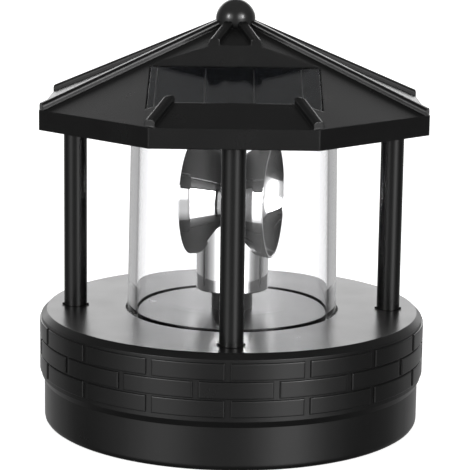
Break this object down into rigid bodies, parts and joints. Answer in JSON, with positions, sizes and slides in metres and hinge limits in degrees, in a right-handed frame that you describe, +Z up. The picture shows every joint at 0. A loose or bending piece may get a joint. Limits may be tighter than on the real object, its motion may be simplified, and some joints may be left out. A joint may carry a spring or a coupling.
{
  "type": "lighthouse ornament",
  "caption": "Round brick-patterned base, clear lantern tube with a turning chrome reflector, posts and an eight-sided roof that holds a solar panel and a finial ball.",
  "frame": {"origin": "centre of the round base, on the face the ornament stands on", "axes": "+Z up along the axis of the base and the reflector's spindle, -Y towards the front, where the solar panel faces"},
  "size_m": [0.1194, 0.1194, 0.1309],
  "materials": {
    "black_shell": "satin black moulded plastic with moulded brick courses",
    "black_cover": "matt black moulded plastic",
    "black_roof": "satin black moulded plastic",
    "black_post": "satin black moulded plastic",
    "black_ball": "semi-gloss black plastic",
    "black_spindle": "satin black plastic",
    "knob_black": "ribbed black plastic",
    "cell_sleeve": "printed plastic sleeve over a steel can, bare",
    "contact_metal": "plated spring steel",
    "board_green": "green board lacquer",
    "component_black": "moulded component cases",
    "motor_steel": "zinc-plated sheet steel",
    "shaft_steel": "ground steel",
    "screw_steel": "zinc-plated steel",
    "screw_black": "black-oxide steel",
    "bush_nylon": "black acetal",
    "gear_nylon": "natural acetal",
    "pinion_brass": "machined brass",
    "lamp_clear": "clear epoxy lens",
    "chrome_plating": "vacuum-plated chrome on plastic",
    "clear_tube": "clear polystyrene, polished",
    "cell_board": "dark solar cells on a black board",
    "panel_resin": "clear epoxy resin, polished"
  },
  "bodies": {
    "housing": {"base_housing": "black_shell", "bottom_cover": "black_cover", "battery_cell": "cell_sleeve", "battery_plate": "contact_metal", "battery_leaf": "contact_metal", "circuit_board": "board_green", "board_parts": "component_black", "switch_body": "component_black", "motor_can": "motor_steel", "motor_plate": "motor_steel", "spindle_bush": "bush_nylon", "lamp_post": "shaft_steel", "lamp": "lamp_clear", "lantern_tube": "clear_tube", "post_front": "black_post", "post_right": "black_post", "post_rear": "black_post", "post_left": "black_post", "roof_plate": "black_cover", "roof_shell": "black_roof", "solar_panel": "cell_board", "panel_resin": "panel_resin", "finial_ball": "black_ball", "cover_screws": "screw_steel", "motor_screws": "screw_steel", "board_screws": "screw_steel", "deck_screws": "screw_steel", "plate_screws": "screw_steel", "roof_screws": "screw_black"},
    "rotor": {"reflector": "chrome_plating", "spindle": "black_spindle", "drive_gear": "gear_nylon", "gear_clip": "shaft_steel"},
    "motor_output": {"motor_shaft": "shaft_steel", "pinion": "pinion_brass"},
    "door": {"battery_door": "black_cover", "door_screw": "screw_steel"},
    "switch": {"switch_knob": "knob_black"}
  },
  "joints": [
    {"name": "reflector_spin", "type": "hinge", "parent": "housing", "child": "rotor", "pos_m": [0, 0, 0.035], "axis": [0, 0, 1], "continuous": true},
    {"name": "motor_spin", "type": "hinge", "parent": "housing", "child": "motor_output", "pos_m": [0, -0.0192, 0.021], "axis": [0, 0, 1], "continuous": true},
    {"name": "switch_slide", "type": "slide", "parent": "housing", "child": "switch", "axis": [0, 1, 0], "range_m": [0, 0.0025]},
    {"name": "door_lift", "type": "slide", "parent": "housing", "child": "door", "axis": [0, 0, -1], "range_m": [0, 0.025]}
  ],
  "couplings": [
    {"joint": "motor_spin", "follows": "reflector_spin", "ratio": -3}
  ]
}
